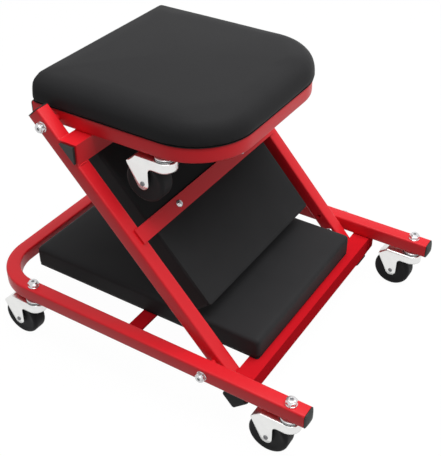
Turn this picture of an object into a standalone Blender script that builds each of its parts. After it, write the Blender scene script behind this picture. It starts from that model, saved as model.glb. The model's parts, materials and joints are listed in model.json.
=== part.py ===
# Folding mechanics creeper, standing as a rolling seat.
# It has three hinged tube sections, three pads and six casters.
# Lengths are in metres. +Z is up, the floor is z = 0, and the base runs along X with its bend at the -X end.
import math

import bmesh
import bpy
from mathutils import Matrix, Vector

for leftover in list(bpy.data.objects):
    bpy.data.objects.remove(leftover, do_unlink=True)

# Fits
gap = 0.0003  # air between faces that bear on each other
bore_gap = 0.0003  # air round a bolt, stem, axle or screw
hinge_space = 0.0075  # between a base rail and the middle tube on its pivot bolt
seat_hinge_space = 0.0075  # between a middle tube and the seat tube on its pivot bolt
swing_gap = 0.0005  # between the rest angle and the seat tubes when the creeper lies flat

# Square steel tube of every section
tube = 0.020
tube_wall = 0.0015
tube_corner = 0.0025
corner_steps = 2
bend_steps = 7
end_plug = 0.010
cap_rim = 0.0012
cap_dome = 0.0035
flat_cap_dome = 0.0006

# Base section
base_length = 0.492
base_width = 0.390
base_bend = 0.070
bar_width = 0.020
bar_thickness = 0.003
base_bar_from_caps = 0.263
stop_width = 0.025
stop_drop = 0.025

# Middle section, measured along its tubes from the lower pivot
fold_lean = math.radians(47.4)  # slope of the tubes above level
lower_pivot_from_caps = 0.137
link_length = 0.347
upper_tail = 0.0185
lower_tail = 0.060
middle_bar_at = 0.177
rest_reach = 0.049  # from the upper pivot to the rest angle's upright face
rest_thickness = 0.0025
rest_cap_thickness = 0.0035
foot_length = 0.025
foot_wall = 0.005
foot_toe = 0.0085  # what the rubber foot stands out past the tube's cushion side
foot_heel = 0.001
foot_side = 0.006
foot_round = 0.003
round_profile = 0.5  # a circular arc

# Seat section, measured from the upper pivot
seat_front = 0.222
seat_rear = 0.039
seat_bend = 0.076
rear_tube_inset = 0.002

# Pads
pad_side_space = 0.0152  # from the ends of the pivot bolts to a pad's side
flat_pad_thickness = 0.033
flat_pad_corner = 0.007
flat_pad_edge = 0.006
flat_pad_crown = 0.0015
flat_pad_waist = 0.0015
flat_pad_bulge = 0.001
base_pad_from_caps = 0.098
base_pad_from_bend = 0.017  # from the bent tube's inner face to the pad's end
middle_pad_from_seat = 0.047  # from the upper pivot to the pad's end
pads_apart = 0.0019  # between the middle pad's lower corner and the base pad
seat_pad_thickness = 0.0375
seat_pad_rear_corner = 0.012
seat_pad_edge = 0.026
seat_pad_crown = 0.004
seat_pad_waist = 0.002
seat_pad_bulge = 0.0022
pad_hem = 0.0012  # what a pad is drawn in where it meets its seat
flat_board_thickness = 0.008
seat_board_thickness = 0.010
board_inset = 0.005
board_corner = 0.005
side_steps = 6
pad_corner_steps = 5
edge_steps = 4
crown_steps = 3
plateau_share = 0.12  # size of the flat middle of a crown against the whole top
edge_share = 0.7  # most of a pad's height that its rounded edge may take
hem_waist = 0.5  # share of the waist left at a pad's hem and at its top

# Pivot bolts, nuts and screws
bolt_radius = 0.003
bolt_hex_half = 0.006  # half the width across the flats
bolt_head_height = 0.004
bolt_nut_height = 0.006
stem_hex_half = 0.0065
stem_nut_height = 0.0065
thread_end = 0.0015  # thread that shows past a nut
hex_chamfer = 0.0012
spacer_radius = 0.0055
screw_radius = 0.002
screw_head_radius = 0.0045
screw_head_height = 0.0028
screw_bite = 0.006  # depth of a screw in a board
screw_spread = 0.075  # from the middle line to a screw
turned_sides = 12
dome_steps = 2

# Casters
wheel_headroom = 0.0035  # between a wheel and the rivet over it
caster_trail = 0.0237
base_caster_from_caps = 0.0215
base_caster_from_bend = 0.0805
seat_caster_from_front = 0.075
wheel_diameter = 0.0535
wheel_width = 0.0215
wheel_sides = 20
wheel_shoulder = 0.0045
shoulder_steps = 3
wheel_web_inset = 0.0015
hub_radius = 0.008
hub_stand = 0.0012
rim_depth = 0.006
axle_radius = 0.003
axle_head_radius = 0.005
axle_head_height = 0.0016
axle_sides = 10
fork_plate = 0.002
fork_tail = 0.034  # back edge of the crown, from the swivel axis
fork_ear = 0.0455  # back edge of the flap
fork_ear_drop = 0.0095
fork_boss = 0.0080
fork_skirt = 0.0119
fork_throat = 0.006
fork_arc_steps = 6
nose_steps = 6
stem_radius = 0.004
race_radius = 0.0125
race_height = 0.004
collar_radius = 0.006
rivet_radius = 0.008
rivet_height = 0.0018

# Places that follow from the sizes
half_tube = tube / 2
cap_reach = gap + cap_rim + cap_dome
bend_x = -(base_length + cap_reach) / 2
cap_x = bend_x + base_length
crown_top = -2 * gap - race_height
crown_bottom = crown_top - fork_plate
rivet_top = crown_bottom - gap
caster_height = wheel_diameter + wheel_headroom + rivet_height - rivet_top
rail_bottom = caster_height
rail_middle = rail_bottom + half_tube
rail_y = base_width / 2 - half_tube
middle_y = rail_y - tube - hinge_space
seat_y = middle_y - tube - seat_hinge_space
seat_width = 2 * seat_y + tube
bolt_end = gap + bolt_head_height
pad_width = 2 * (middle_y - half_tube - bolt_end - pad_side_space)
base_pad_length = base_length - base_pad_from_caps - tube - base_pad_from_bend
lower_pivot = Vector((cap_x - lower_pivot_from_caps, 0, rail_middle))
fold_turn = math.pi - fold_lean
pad_over_tube = flat_pad_thickness - half_tube
pad_rise = pad_over_tube + pads_apart + pad_over_tube * math.cos(fold_lean)
middle_pad_start = pad_rise / math.sin(fold_lean)
middle_pad_end = link_length - middle_pad_from_seat
sides = {"near": -1, "far": 1}


# Mesh helpers
def solid(shape):
    bmesh.ops.recalc_face_normals(shape, faces=shape.faces)
    mesh = bpy.data.meshes.new("shape")
    shape.to_mesh(mesh)
    shape.free()
    return mesh


def loft(rings, looped=False):
    shape = bmesh.new()
    rows = [[shape.verts.new(point) for point in ring] for ring in rings]
    pairs = list(zip(rows, rows[1:]))
    if looped:
        pairs.append((rows[-1], rows[0]))
    else:
        shape.faces.new(rows[0])
        shape.faces.new(rows[-1])
    for first, second in pairs:
        for index in range(len(first)):
            after = (index + 1) % len(first)
            shape.faces.new((first[index], first[after], second[after], second[index]))
    return solid(shape)


def prism(outline, low, high, across="Z"):
    # outline runs in XY, or in XZ where the prism lies across Y
    if across == "Y":
        return loft([[(x, level, z) for x, z in outline] for level in (low, high)])
    return loft([[(x, y, level) for x, y in outline] for level in (low, high)])


def box(low, high):
    outline = [(low[0], low[1]), (high[0], low[1]), (high[0], high[1]), (low[0], high[1])]
    return prism(outline, low[2], high[2])


def arc(centre, radius, start, end, steps):
    points = []
    for step in range(steps + 1):
        angle = start + (end - start) * step / steps
        points.append((centre[0] + radius * math.cos(angle), centre[1] + radius * math.sin(angle)))
    return points


def turned(rows, looped=False, count=turned_sides):
    # rows of (radius, height, hexagonal); a hexagonal row's radius is half its width across the flats
    sixth = math.pi / 3
    rings = []
    for radius, height, hexagonal in rows:
        ring = []
        for index in range(count):
            angle = 2 * math.pi * index / count
            reach = radius / math.cos(angle % sixth - sixth / 2) if hexagonal else radius
            ring.append((reach * math.cos(angle), reach * math.sin(angle), height))
        rings.append(ring)
    return loft(rings, looped)


def rod(radius, low, high):
    return turned([(radius, low, False), (radius, high, False)])


def gathered(pieces):
    shape = bmesh.new()
    for mesh, matrix in pieces:
        copy = mesh.copy()
        copy.transform(matrix)
        shape.from_mesh(copy)
        bpy.data.meshes.remove(copy)
    return solid(shape)


def boolean(body, tool, operation="DIFFERENCE"):
    holder = bpy.data.objects.new("holder", body)
    cutter = bpy.data.objects.new("cutter", tool)
    for item in (holder, cutter):
        bpy.context.scene.collection.objects.link(item)
    step = holder.modifiers.new("cut", "BOOLEAN")
    step.operation = operation
    step.object = cutter
    graph = bpy.context.evaluated_depsgraph_get()
    result = bpy.data.meshes.new_from_object(holder.evaluated_get(graph))
    for item in (holder, cutter):
        bpy.data.objects.remove(item)
    return result


def rounded_square(half, radius):
    points = []
    for sign_u, sign_v, quarter in ((1, 1, 0), (-1, 1, 1), (-1, -1, 2), (1, -1, 3)):
        centre = (sign_u * (half - radius), sign_v * (half - radius))
        points += arc(centre, radius, quarter * math.pi / 2, (quarter + 1) * math.pi / 2, corner_steps)
    return points


def hollow_tube(stations):
    # a station is a point on the tube's middle line, its outward way and its upward way
    outer = rounded_square(half_tube, tube_corner)
    inner = rounded_square(half_tube - tube_wall, tube_corner - tube_wall)
    rings = [[point + out * u + up * v for u, v in outer] for point, out, up in stations]
    rings += [[point + out * u + up * v for u, v in inner] for point, out, up in reversed(stations)]
    return loft(rings, looped=True)


def straight_stations(start, end, out, up):
    return [(Vector(start), Vector(out), Vector(up)), (Vector(end), Vector(out), Vector(up))]


def bent_stations(open_x, end_x, half_width, radius, height):
    # from the near open end round both bends to the far open end; end_x is the middle of the cross run
    way = 1 if end_x > open_x else -1
    up = Vector((0, 0, 1))
    centre_x = end_x - way * radius
    stations = [(Vector((open_x, -half_width, height)), Vector((0, -1, 0)), up)]
    for side in (-1, 1):
        centre = Vector((centre_x, side * (half_width - radius), height))
        for step in range(bend_steps + 1):
            turn = math.pi / 2 * step / bend_steps
            if side > 0:
                turn = math.pi / 2 - turn
            out = Vector((way * math.sin(turn), side * math.cos(turn), 0))
            stations.append((centre + out * radius, out, up))
    stations.append((Vector((open_x, half_width, height)), Vector((0, 1, 0)), up))
    return stations


# Materials
def finish(name, colour, roughness, metallic):
    material = bpy.data.materials.new(name)
    material.use_nodes = True
    shader = material.node_tree.nodes["Principled BSDF"]
    shader.inputs["Base Color"].default_value = (*colour, 1)
    shader.inputs["Roughness"].default_value = roughness
    shader.inputs["Metallic"].default_value = metallic
    return material


red_paint = finish("red_paint", (0.62, 0.015, 0.025), 0.35, 0.0)
black_vinyl = finish("black_vinyl", (0.022, 0.022, 0.023), 0.55, 0.0)
black_plastic = finish("black_plastic", (0.020, 0.022, 0.021), 0.45, 0.0)
black_rubber = finish("black_rubber", (0.015, 0.015, 0.016), 0.60, 0.0)
plywood = finish("plywood", (0.42, 0.28, 0.16), 0.80, 0.0)
white_zinc = finish("white_zinc", (0.78, 0.78, 0.77), 0.35, 1.0)
bright_steel = finish("bright_steel", (0.70, 0.70, 0.72), 0.25, 1.0)
smooth_angle = math.radians(50)


def piece(name, mesh, material, parent=None, location=(0, 0, 0), turn=(0, 0, 0)):
    mesh.materials.clear()
    mesh.materials.append(material)
    mesh.shade_smooth()
    mesh.set_sharp_from_angle(angle=smooth_angle)
    item = bpy.data.objects.new(name, mesh)
    bpy.context.scene.collection.objects.link(item)
    item.parent = parent
    item.location = location
    item.rotation_euler = turn
    return item


def joint_marker(name, location, parent=None, turn=(0, 0, 0)):
    marker = bpy.data.objects.new(name, None)
    bpy.context.scene.collection.objects.link(marker)
    marker.parent = parent
    marker.location = location
    marker.rotation_euler = turn
    return marker


# The middle section is modelled as it lies flat, then turned up about the lower pivot. The seat stays level.
middle_pivot = joint_marker("middle_pivot", lower_pivot, turn=(0, -fold_turn, 0))
seat_pivot = joint_marker("seat_pivot", (link_length, 0, 0), middle_pivot, (0, fold_turn, 0))


# Fasteners shared by the sections
def nut_rows(radius, seat, half, height):
    # a nut run up to the seat height on a thread of the given radius
    top = seat + height
    return [(radius, seat, False), (half, seat, True), (half, top - hex_chamfer, True),
            (half, top, False), (radius, top, False), (radius, top + thread_end, False)]


def inside_nut_rows(radius, seat):
    # a plain nut that fills the width of the tube it sits in, so that it can't turn
    half = (half_tube - tube_wall - gap) * math.cos(math.pi / 6)
    top = seat + stem_nut_height
    return [(radius, seat, False), (half, seat, True), (half, top, True), (radius, top, False),
            (radius, top + thread_end, False)]


def bolt_mesh(grip):
    head = [(bolt_hex_half, -bolt_head_height, False), (bolt_hex_half, hex_chamfer - bolt_head_height, True),
            (bolt_hex_half, 0, True), (bolt_radius, 0, False)]
    return turned(head + nut_rows(bolt_radius, grip, bolt_hex_half, bolt_nut_height))


def dome_rows(radius, height):
    # a low round head, from its small flat crown out to its rim
    crown_turn = math.pi / 3
    rows = []
    for step in range(dome_steps, -1, -1):
        turn = crown_turn * step / dome_steps
        rows.append((radius * math.cos(turn), height * math.sin(turn) / math.sin(crown_turn)))
    return rows


def screw_mesh(length):
    head = [(radius, -height, False) for radius, height in dome_rows(screw_head_radius, screw_head_height)]
    return turned(head + [(screw_radius, 0, False), (screw_radius, length, False)])


def spacer_mesh(space):
    bore = bolt_radius + bore_gap
    length = space - 2 * gap
    return turned([(bore, 0, False), (spacer_radius, 0, False), (spacer_radius, length, False),
                   (bore, length, False)], looped=True)


def end_cap_mesh(dome):
    # plug in the tube, rim over its end and a bulged face; local +Z points out of the tube
    plug_half = half_tube - tube_wall - bore_gap
    face_half = half_tube * math.cos(math.pi / 3)
    rows = [(plug_half, -end_plug), (plug_half, gap), (half_tube, gap), (half_tube, gap + cap_rim),
            (face_half, gap + cap_rim + dome)]
    rings = []
    for half, height in rows:
        radius = tube_corner * half / half_tube
        rings.append([(u, v, height) for u, v in rounded_square(half, radius)])
    return loft(rings)


def pivot_set(prefix, face_y, space, parent, x, z):
    # bolt from inside with its nut on the outside, and a spacer between the two tubes
    grip = 2 * tube + space + 2 * gap
    bolt = bolt_mesh(grip)
    spacer = spacer_mesh(space)
    for name, side in sides.items():
        turn = (-side * math.pi / 2, 0, 0)
        piece(f"{prefix}_bolt_{name}", bolt, bright_steel, parent, (x, side * (face_y + gap - grip), z), turn)
        spacer_y = face_y - tube - space + gap
        piece(f"{prefix}_spacer_{name}", spacer, red_paint, parent, (x, side * spacer_y, z), turn)


def end_caps(prefix, x, y, z, out, parent=None, dome=cap_dome):
    # out is +1 where the tubes end towards +X and -1 towards -X
    for name, side in sides.items():
        piece(f"{prefix}_end_cap_{name}", end_cap_mesh(dome), black_plastic, parent, (x, side * y, z),
              (0, out * math.pi / 2, 0))


def cross_hole(radius, y, x, z):
    # a bore right through a tube that runs along X with its middle at y
    return (rod(radius, -tube, tube), Matrix.Translation((x, y, z)) @ Matrix.Rotation(math.pi / 2, 4, "X"))


def upright_hole(radius, x, y, low, high):
    return (rod(radius, low, high), Matrix.Translation((x, y, 0)))


# Pads and boards
def pad_outline(length, width, rear_corner, front_corner, inset=0.0, waist=0.0):
    # rounded rectangle about the origin whose straight sides are drawn in by the waist at their middles
    half_x = length / 2 - inset
    half_y = width / 2 - inset
    corners = []
    for sign_x, sign_y, quarter in ((1, -1, -1), (1, 1, 0), (-1, 1, 1), (-1, -1, 2)):
        radius = max((front_corner if sign_x > 0 else rear_corner) - inset, flat_pad_waist)
        centre = (sign_x * (half_x - radius), sign_y * (half_y - radius))
        start = quarter * math.pi / 2
        corners.append(arc(centre, radius, start, start + math.pi / 2, pad_corner_steps))
    points = []
    for index, corner in enumerate(corners):
        points += corner
        first = Vector(corner[-1])
        last = Vector(corners[(index + 1) % 4][0])
        along = (last - first).normalized()
        inside = Vector((-along.y, along.x))
        for step in range(1, side_steps):
            share = step / side_steps
            point = first.lerp(last, share) + inside * waist * math.sin(math.pi * share) ** 2
            points.append((point.x, point.y))
    return points


def pad_mesh(length, width, rear, front, thickness, edge, crown, waist, bulge, board):
    # bottom z = 0, with a pocket for the board; the sides bulge, and the top rises to a crown
    rows = [(board_inset - gap, board + gap, 0), (board_inset - gap, 0, 0), (pad_hem, 0, hem_waist)]
    edge_top = thickness - crown
    side_top = edge_top - min(edge, edge_top * edge_share)
    for step in (1, 2):
        turn = math.pi / 4 * step
        rows.append((pad_hem - (pad_hem + bulge) * math.sin(turn), side_top * (1 - math.cos(turn)), 1))
    for step in range(1, edge_steps + 1):
        turn = math.pi / 2 * step / edge_steps
        inset = edge * (1 - math.cos(turn)) - bulge
        pull = 1 - (1 - hem_waist) * step / edge_steps
        rows.append((inset, side_top + (edge_top - side_top) * math.sin(turn), pull))
    rings = []
    for inset, height, pull in rows:
        outline = pad_outline(length, width, rear, front, inset, waist * pull)
        rings.append([(x, y, height) for x, y in outline])
    return loft(rings + crown_rings(rings[-1], crown))


def crown_rings(rim, crown):
    # the rim drawn in towards the middle, rising like a pillow to a small flat
    half_x = max(x for x, y, height in rim)
    half_y = max(y for x, y, height in rim)
    rings = []
    for step in range(1, crown_steps + 1):
        size = 1 - (1 - plateau_share) * step / crown_steps
        ring = []
        for x, y, height in rim:
            rise = (1 - (size * x / half_x) ** 2) * (1 - (size * y / half_y) ** 2)
            if step == crown_steps:
                rise = 1
            ring.append((size * x, size * y, height + crown * rise))
        rings.append(ring)
    return rings


def board_mesh(length, width, rear, front, thickness, holes=()):
    board = prism(pad_outline(length, width, rear, front, board_inset), 0, thickness)
    return boolean(board, gathered(holes)) if holes else board


# Base section
def make_base():
    pivot_x = lower_pivot.x
    caster_spots = {"cap": cap_x - base_caster_from_caps, "bend": bend_x + base_caster_from_bend}
    path = bent_stations(cap_x, bend_x + half_tube, rail_y, base_bend - half_tube, rail_middle)
    holes = []
    for side in sides.values():
        holes.append(cross_hole(bolt_radius + bore_gap, side * rail_y, pivot_x, rail_middle))
        for x in caster_spots.values():
            holes.append(upright_hole(stem_radius + bore_gap, x, side * rail_y, 0, rail_bottom + 2 * tube))
    piece("base_frame", boolean(hollow_tube(path), gathered(holes)), red_paint)
    end_caps("base", cap_x, rail_y, rail_middle, 1)

    # Flat bar and stop angle lie under the tubes. The angle's edge stops the middle tubes as they stand up.
    bar_top = rail_bottom - gap
    bar_low = bar_top - bar_thickness
    bar_x = cap_x - base_bar_from_caps
    bar = box((bar_x - bar_width / 2, -rail_y, bar_low), (bar_x + bar_width / 2, rail_y, bar_top))
    piece("base_cross_bar", bar, red_paint)
    under = half_tube + gap + bar_thickness
    stop_edge = pivot_x + (half_tube + gap + math.cos(fold_lean) * under) / math.sin(fold_lean)
    stop_face = stop_edge + stop_width
    stop_back = stop_face - bar_thickness
    stop_low = bar_top - stop_drop
    outline = [(stop_edge, bar_top), (stop_face, bar_top), (stop_face, stop_low), (stop_back, stop_low),
               (stop_back, bar_low), (stop_edge, bar_low)]
    angle = prism(outline, -rail_y, rail_y, "Y")
    # the upright flange is cut back to fit between the tubes
    flange_reach = rail_y - half_tube - gap
    for side in sides.values():
        ends = sorted((side * flange_reach, side * base_width))
        angle = boolean(angle, box((stop_edge, ends[0], -tube), (stop_face + tube, ends[1], bar_low)))
    piece("stop_angle", angle, red_paint)

    # Pad on the bar and the angle
    place = (cap_x - base_pad_from_caps - base_pad_length / 2, 0, rail_bottom)
    board = board_mesh(base_pad_length, pad_width, board_corner, board_corner, flat_board_thickness)
    piece("base_pad_board", board, plywood, location=place)
    pad = pad_mesh(base_pad_length, pad_width, flat_pad_corner, flat_pad_corner, flat_pad_thickness,
                   flat_pad_edge, flat_pad_crown, flat_pad_waist, flat_pad_bulge, flat_board_thickness)
    piece("base_pad", pad, black_vinyl, location=place)
    pivot_set("lower_pivot", base_width / 2, hinge_space, None, pivot_x, rail_middle)
    return caster_spots


# Middle section, lying flat along +X from the lower pivot
def make_middle():
    outer_y = middle_y + half_tube
    for name, side in sides.items():
        y = side * middle_y
        ends = [(x, y, 0) for x in (-lower_tail, link_length + upper_tail)]
        path = straight_stations(*ends, (0, side, 0), (0, 0, 1))
        holes = [cross_hole(bolt_radius + bore_gap, y, x, 0) for x in (0, link_length)]
        piece(f"middle_tube_{name}", boolean(hollow_tube(path), gathered(holes)), red_paint, middle_pivot)
        piece(f"middle_foot_{name}", foot_mesh(side), black_rubber, middle_pivot, (0, y, 0))
    end_caps("middle", link_length + upper_tail, middle_y, 0, 1, middle_pivot, flat_cap_dome)

    # Flat bar behind the pad, under the tubes when the section lies flat
    bar_top = -half_tube - gap
    bar_low = bar_top - bar_thickness
    half_span = middle_y
    bar_ends = [middle_bar_at + side * bar_width / 2 for side in sides.values()]
    bar = box((bar_ends[0], -half_span, bar_low), (bar_ends[1], half_span, bar_top))
    screw_hole = screw_radius + bore_gap
    spots = {name: side * screw_spread for name, side in sides.items()}
    holes = [upright_hole(screw_hole, middle_bar_at, y, -2 * tube, 0) for y in spots.values()]
    piece("middle_cross_bar", boolean(bar, gathered(holes)), red_paint, middle_pivot)

    pad_length = middle_pad_end - middle_pad_start
    place = ((middle_pad_start + middle_pad_end) / 2, 0, -half_tube)
    pilot_x = middle_bar_at - place[0]
    pilots = [upright_hole(screw_hole, pilot_x, y, -tube, screw_bite + gap) for y in spots.values()]
    board = board_mesh(pad_length, pad_width, board_corner, board_corner, flat_board_thickness, pilots)
    piece("middle_pad_board", board, plywood, middle_pivot, place)
    pad = pad_mesh(pad_length, pad_width, flat_pad_corner, flat_pad_corner, flat_pad_thickness,
                   flat_pad_edge, flat_pad_crown, flat_pad_waist, flat_pad_bulge, flat_board_thickness)
    piece("middle_pad", pad, black_vinyl, middle_pivot, place)
    screw = screw_mesh(bar_thickness + 2 * gap + screw_bite)
    for name, y in spots.items():
        seat = (middle_bar_at, y, bar_low - gap)
        piece(f"middle_pad_screw_{name}", screw, bright_steel, middle_pivot, seat)

    make_rest_angle(outer_y)
    pivot_set("upper_pivot", outer_y, seat_hinge_space, middle_pivot, link_length, 0)


def foot_mesh(side):
    # rubber block over a tube's lower end, deeper on the cushion side and wider on the outside
    end = -lower_tail - foot_wall
    low = Vector((end, -half_tube - foot_wall / 2, -half_tube - foot_heel))
    high = Vector((end + foot_length, half_tube + foot_side, half_tube + foot_toe))
    shape = bmesh.new()
    bmesh.ops.create_cube(shape, size=1.0, matrix=Matrix.LocRotScale((low + high) / 2, None, high - low))
    bmesh.ops.bevel(shape, geom=shape.edges[:], offset=foot_round, segments=2,
                     profile=round_profile, affect="EDGES")
    pocket = rounded_square(half_tube + gap, tube_corner)
    hollow = loft([[(x, u, v) for u, v in pocket] for x in (-lower_tail - gap, 0)])
    return gathered([(boolean(solid(shape), hollow), Matrix.Diagonal((1, side, 1, 1)))])


def make_rest_angle(outer_y):
    # a level flange for the seat tubes and an upright one, both cut to the slope of the middle tubes
    clear = half_tube + swing_gap

    def slope_x(z):
        return (clear - math.cos(fold_lean) * z) / math.sin(fold_lean)

    def slope_z(x):
        return (clear - math.sin(fold_lean) * x) / math.cos(fold_lean)

    level = -half_tube - gap
    inner_level = level - rest_thickness
    inner_x = rest_reach - rest_thickness
    inside = [(inner_x, slope_z(inner_x)), (inner_x, inner_level), (slope_x(inner_level), inner_level)]
    outline = [(rest_reach, level), (rest_reach, slope_z(rest_reach)), *inside, (slope_x(level), level)]
    place = {"parent": middle_pivot, "location": (link_length, 0, 0), "turn": (0, fold_turn, 0)}
    piece("seat_rest_angle", prism(outline, -outer_y, outer_y, "Y"), red_paint, **place)
    cap_y = outer_y + gap
    for name, side in sides.items():
        faces = [side * cap_y, side * (cap_y + rest_cap_thickness)]
        plate = prism(inside, *faces, "Y")
        piece(f"rest_angle_cap_{name}", plate, black_plastic, **place)


# Seat section, level about the upper pivot
def make_seat():
    caster_x = seat_front - seat_caster_from_front
    path = bent_stations(-seat_rear, seat_front - half_tube, seat_y, seat_bend - half_tube, 0)
    holes = []
    for side in sides.values():
        holes.append(cross_hole(bolt_radius + bore_gap, side * seat_y, 0, 0))
        holes.append(upright_hole(stem_radius + bore_gap, caster_x, side * seat_y, -tube, 0))
    piece("seat_frame", boolean(hollow_tube(path), gathered(holes)), red_paint, seat_pivot)
    end_caps("seat", -seat_rear, seat_y, 0, -1, seat_pivot)
    rear_x = -seat_rear + rear_tube_inset + half_tube
    rear_half = seat_y - half_tube - gap
    rear_path = straight_stations((rear_x, -rear_half, 0), (rear_x, rear_half, 0), (1, 0, 0), (0, 0, 1))
    piece("seat_rear_tube", hollow_tube(rear_path), red_paint, seat_pivot)

    # Board on the tubes and the pad over it
    length = seat_front + seat_rear
    place = ((seat_front - seat_rear) / 2, 0, half_tube + gap)
    board = board_mesh(length, seat_width, seat_pad_rear_corner, seat_bend, seat_board_thickness)
    piece("seat_board", board, plywood, seat_pivot, place)
    pad = pad_mesh(length, seat_width, seat_pad_rear_corner, seat_bend, seat_pad_thickness, seat_pad_edge,
                   seat_pad_crown, seat_pad_waist, seat_pad_bulge, seat_board_thickness)
    piece("seat_pad", pad, black_vinyl, seat_pivot, place)
    return caster_x


# Casters, about the swivel axis with z = 0 at the underside of the tube
axle_drop = caster_height - wheel_diameter / 2
hub_half = wheel_width / 2 + hub_stand
fork_inside = hub_half + gap
fork_half = fork_inside + fork_plate


def stem_mesh(nut):
    # rivet under the fork, collar through it, bearing race over it, then the thread up to its nut
    race_low = -gap - race_height
    rows = [
        (rivet_radius - rivet_height / 2, rivet_top - rivet_height, False),
        (rivet_radius, rivet_top, False),
        (collar_radius, rivet_top, False),
        (collar_radius, race_low, False),
        (race_radius, race_low, False),
        (race_radius, -gap, False),
        (stem_radius, -gap, False),
    ]
    return turned(rows + nut)


def fork_mesh():
    # a folded plate: round nose in plan, a flap that slopes down at the back, side plates that narrow
    # down to the axle
    low = -axle_drop - 2 * fork_boss

    def plan(half, tail):
        nose = arc((0, 0), half, math.pi / 2, -math.pi / 2, nose_steps)
        return [(-tail, half), *nose, (-tail, -half)]

    body = prism(plan(fork_half, fork_ear), low, crown_top)
    axle = Vector((-caster_trail, -axle_drop))
    ear = Vector((-fork_ear, crown_top - fork_ear_drop))
    reach = ear - axle
    tangent = math.atan2(reach.y, reach.x) + math.acos(fork_boss / reach.length)
    skirt_z = crown_top - fork_skirt
    throat = (axle.x + fork_boss + fork_throat, skirt_z - fork_throat)
    nose_x = 2 * fork_half
    fold = Vector((-fork_tail, crown_top))
    profile = [(fold.x, tube), fold, ear]
    profile += arc(axle, fork_boss, tangent, 2 * math.pi, fork_arc_steps)
    profile += arc(throat, fork_throat, math.pi, math.pi / 2, fork_arc_steps // 2)
    profile += [(nose_x, skirt_z), (nose_x, tube)]
    body = boolean(body, prism(profile, -tube, tube, "Y"), "INTERSECT")
    slope = ear - fold
    bend = math.atan2(fork_ear_drop, fork_ear - fork_tail)
    inner_fold = Vector((fold.x + fork_plate * math.tan(bend / 2), crown_bottom))
    inner_end = inner_fold + 2 * fork_ear * slope.normalized()
    inside = [(nose_x, crown_bottom), inner_fold, inner_end, (inner_end.x, 2 * low), (nose_x, 2 * low)]
    hollow = prism(plan(fork_inside, 2 * fork_ear), 2 * low, tube)
    body = boolean(body, boolean(hollow, prism(inside, -tube, tube, "Y"), "INTERSECT"))
    axle_place = Matrix.Translation((axle.x, 0, axle.y)) @ Matrix.Rotation(math.pi / 2, 4, "X")
    holes = [upright_hole(collar_radius + bore_gap, 0, 0, -tube, tube)]
    holes.append((rod(axle_radius + bore_gap, -tube, tube), axle_place))
    return boolean(body, gathered(holes))


def axle_mesh():
    end = fork_half + gap
    rows = [(radius, end + height) for radius, height in dome_rows(axle_head_radius, axle_head_height)]
    rows.append((axle_radius, end))
    rows += [(radius, -height) for radius, height in reversed(rows)]
    return turned([(radius, height, False) for radius, height in rows], count=axle_sides)


def wheel_mesh():
    radius = wheel_diameter / 2
    bore = axle_radius + bore_gap
    half = wheel_width / 2
    web = half - wheel_web_inset
    rows = [(bore, hub_half), (hub_radius, hub_half), (hub_radius + wheel_web_inset, web),
            (radius - rim_depth, web)]
    rows += arc((radius - wheel_shoulder, half - wheel_shoulder), wheel_shoulder, math.pi / 2, 0, shoulder_steps)
    rows += [(reach, -height) for reach, height in reversed(rows)]
    return turned([(reach, height, False) for reach, height in rows], looped=True, count=wheel_sides)


def make_casters(places):
    fork = fork_mesh()
    axle = axle_mesh()
    wheel = wheel_mesh()
    through_stem = stem_mesh(nut_rows(stem_radius, tube + gap, stem_hex_half, stem_nut_height))
    short_stem = stem_mesh(inside_nut_rows(stem_radius, tube_wall + gap))
    across = (math.pi / 2, 0, 0)
    axle_at = (-caster_trail, 0, -axle_drop)
    for name, (spot, parent) in places.items():
        swivel = joint_marker(f"swivel_{name}", spot, parent)
        stem = short_stem if parent else through_stem
        piece(f"caster_stem_{name}", stem, bright_steel, swivel)
        piece(f"caster_fork_{name}", fork, white_zinc, swivel)
        piece(f"caster_axle_{name}", axle, bright_steel, swivel, axle_at, across)
        piece(f"caster_wheel_{name}", wheel, black_rubber, swivel, axle_at, across)


base_casters = make_base()
make_middle()
seat_caster_x = make_seat()
caster_places = {}
for side_name, side_sign in sides.items():
    for end_name, caster_x in base_casters.items():
        base_spot = Vector((caster_x, side_sign * rail_y, rail_bottom))
        caster_places[f"{end_name}_{side_name}"] = (base_spot, None)
    seat_spot = Vector((seat_caster_x, side_sign * seat_y, -half_tube))
    caster_places[f"seat_{side_name}"] = (seat_spot, seat_pivot)
make_casters(caster_places)
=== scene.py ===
# Looks of a folding garage creeper that stands as a rolling seat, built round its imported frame. Metres.
import json
import math

import bmesh
import bpy
from mathutils import Matrix, Vector
from mathutils.bvhtree import BVHTree


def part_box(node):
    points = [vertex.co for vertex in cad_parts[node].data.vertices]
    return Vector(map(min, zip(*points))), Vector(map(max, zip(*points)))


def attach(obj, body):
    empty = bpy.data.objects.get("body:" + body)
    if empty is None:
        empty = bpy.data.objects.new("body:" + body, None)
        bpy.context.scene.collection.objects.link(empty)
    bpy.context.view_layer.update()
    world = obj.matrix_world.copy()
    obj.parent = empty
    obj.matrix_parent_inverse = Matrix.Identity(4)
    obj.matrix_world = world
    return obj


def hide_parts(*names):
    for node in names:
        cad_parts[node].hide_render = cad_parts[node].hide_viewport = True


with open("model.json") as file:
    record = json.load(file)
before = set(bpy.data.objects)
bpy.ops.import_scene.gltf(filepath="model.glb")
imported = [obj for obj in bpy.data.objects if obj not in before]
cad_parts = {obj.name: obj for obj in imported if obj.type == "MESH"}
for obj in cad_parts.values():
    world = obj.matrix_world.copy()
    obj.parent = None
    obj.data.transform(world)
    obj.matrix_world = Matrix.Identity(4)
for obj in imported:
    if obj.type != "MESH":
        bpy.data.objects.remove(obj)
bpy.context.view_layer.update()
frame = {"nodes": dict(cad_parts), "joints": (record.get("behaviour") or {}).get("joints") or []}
nodes = frame["nodes"]
joints = {row["name"]: row for row in frame["joints"]}
scene = bpy.context.scene
mm = 0.001
sides = {"near": -1, "far": 1}
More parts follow.
